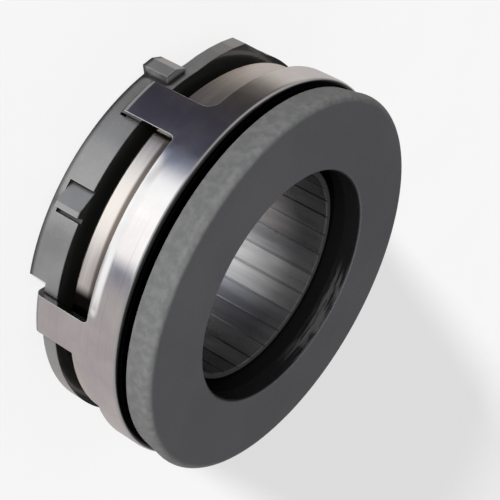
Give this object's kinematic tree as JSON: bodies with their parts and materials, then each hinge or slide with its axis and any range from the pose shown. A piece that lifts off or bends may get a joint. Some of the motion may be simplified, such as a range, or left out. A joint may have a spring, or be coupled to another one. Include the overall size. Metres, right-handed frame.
{
  "type": "clutch release bearing",
  "caption": "Self-centring clutch release bearing: flat turning thrust ring in a ball bearing, held on a flanged plastic guide sleeve by a hooked steel cap.",
  "frame": {"origin": "on the bearing's axis, in the plane of the fork pads that it stands on", "axes": "+Z along the axis, out of the thrust face; the fork pads lie on the +Y and -Y sides"},
  "size_m": [0.0646, 0.0646, 0.0246],
  "materials": {
    "sleeve_plastic": "moulded grey plastic, satin",
    "cap_steel": "bright pressed sheet",
    "ring_steel": "ground steel",
    "dark_steel": "dark phosphated steel, matte",
    "ball_steel": "polished",
    "cage_plastic": "moulded",
    "seal_rubber": "matte",
    "spring_steel": "oiled spring steel"
  },
  "bodies": {
    "sleeve": {"guide_sleeve": "sleeve_plastic", "retaining_cap": "cap_steel"},
    "spring": {"disc_spring": "spring_steel"},
    "bearing": {"outer_ring": "ring_steel", "front_seal": "seal_rubber", "rear_seal": "seal_rubber"},
    "ring": {"thrust_ring": "dark_steel"},
    "balls": {"cage": "cage_plastic", "ball_01": "ball_steel", "ball_02": "ball_steel", "ball_03": "ball_steel", "ball_04": "ball_steel", "ball_05": "ball_steel", "ball_06": "ball_steel", "ball_07": "ball_steel", "ball_08": "ball_steel", "ball_09": "ball_steel", "ball_10": "ball_steel", "ball_11": "ball_steel", "ball_12": "ball_steel", "ball_13": "ball_steel", "ball_14": "ball_steel", "ball_15": "ball_steel", "ball_16": "ball_steel", "ball_17": "ball_steel", "ball_18": "ball_steel"}
  },
  "joints": [
    {"name": "float_x", "type": "slide", "parent": "sleeve", "child": "spring", "axis": [1, 0, 0], "range_m": [-0.0005, 0.0005]},
    {"name": "float_y", "type": "slide", "parent": "spring", "child": "bearing", "axis": [0, 1, 0], "range_m": [-0.0005, 0.0005]},
    {"name": "ring_spin", "type": "hinge", "parent": "bearing", "child": "ring", "pos_m": [0, 0, 0.0132], "axis": [0, 0, 1], "continuous": true},
    {"name": "ball_spin", "type": "hinge", "parent": "bearing", "child": "balls", "pos_m": [0, 0, 0.0132], "axis": [0, 0, 1], "continuous": true}
  ],
  "couplings": [
    {"joint": "ball_spin", "follows": "ring_spin", "ratio": 0.45}
  ]
}
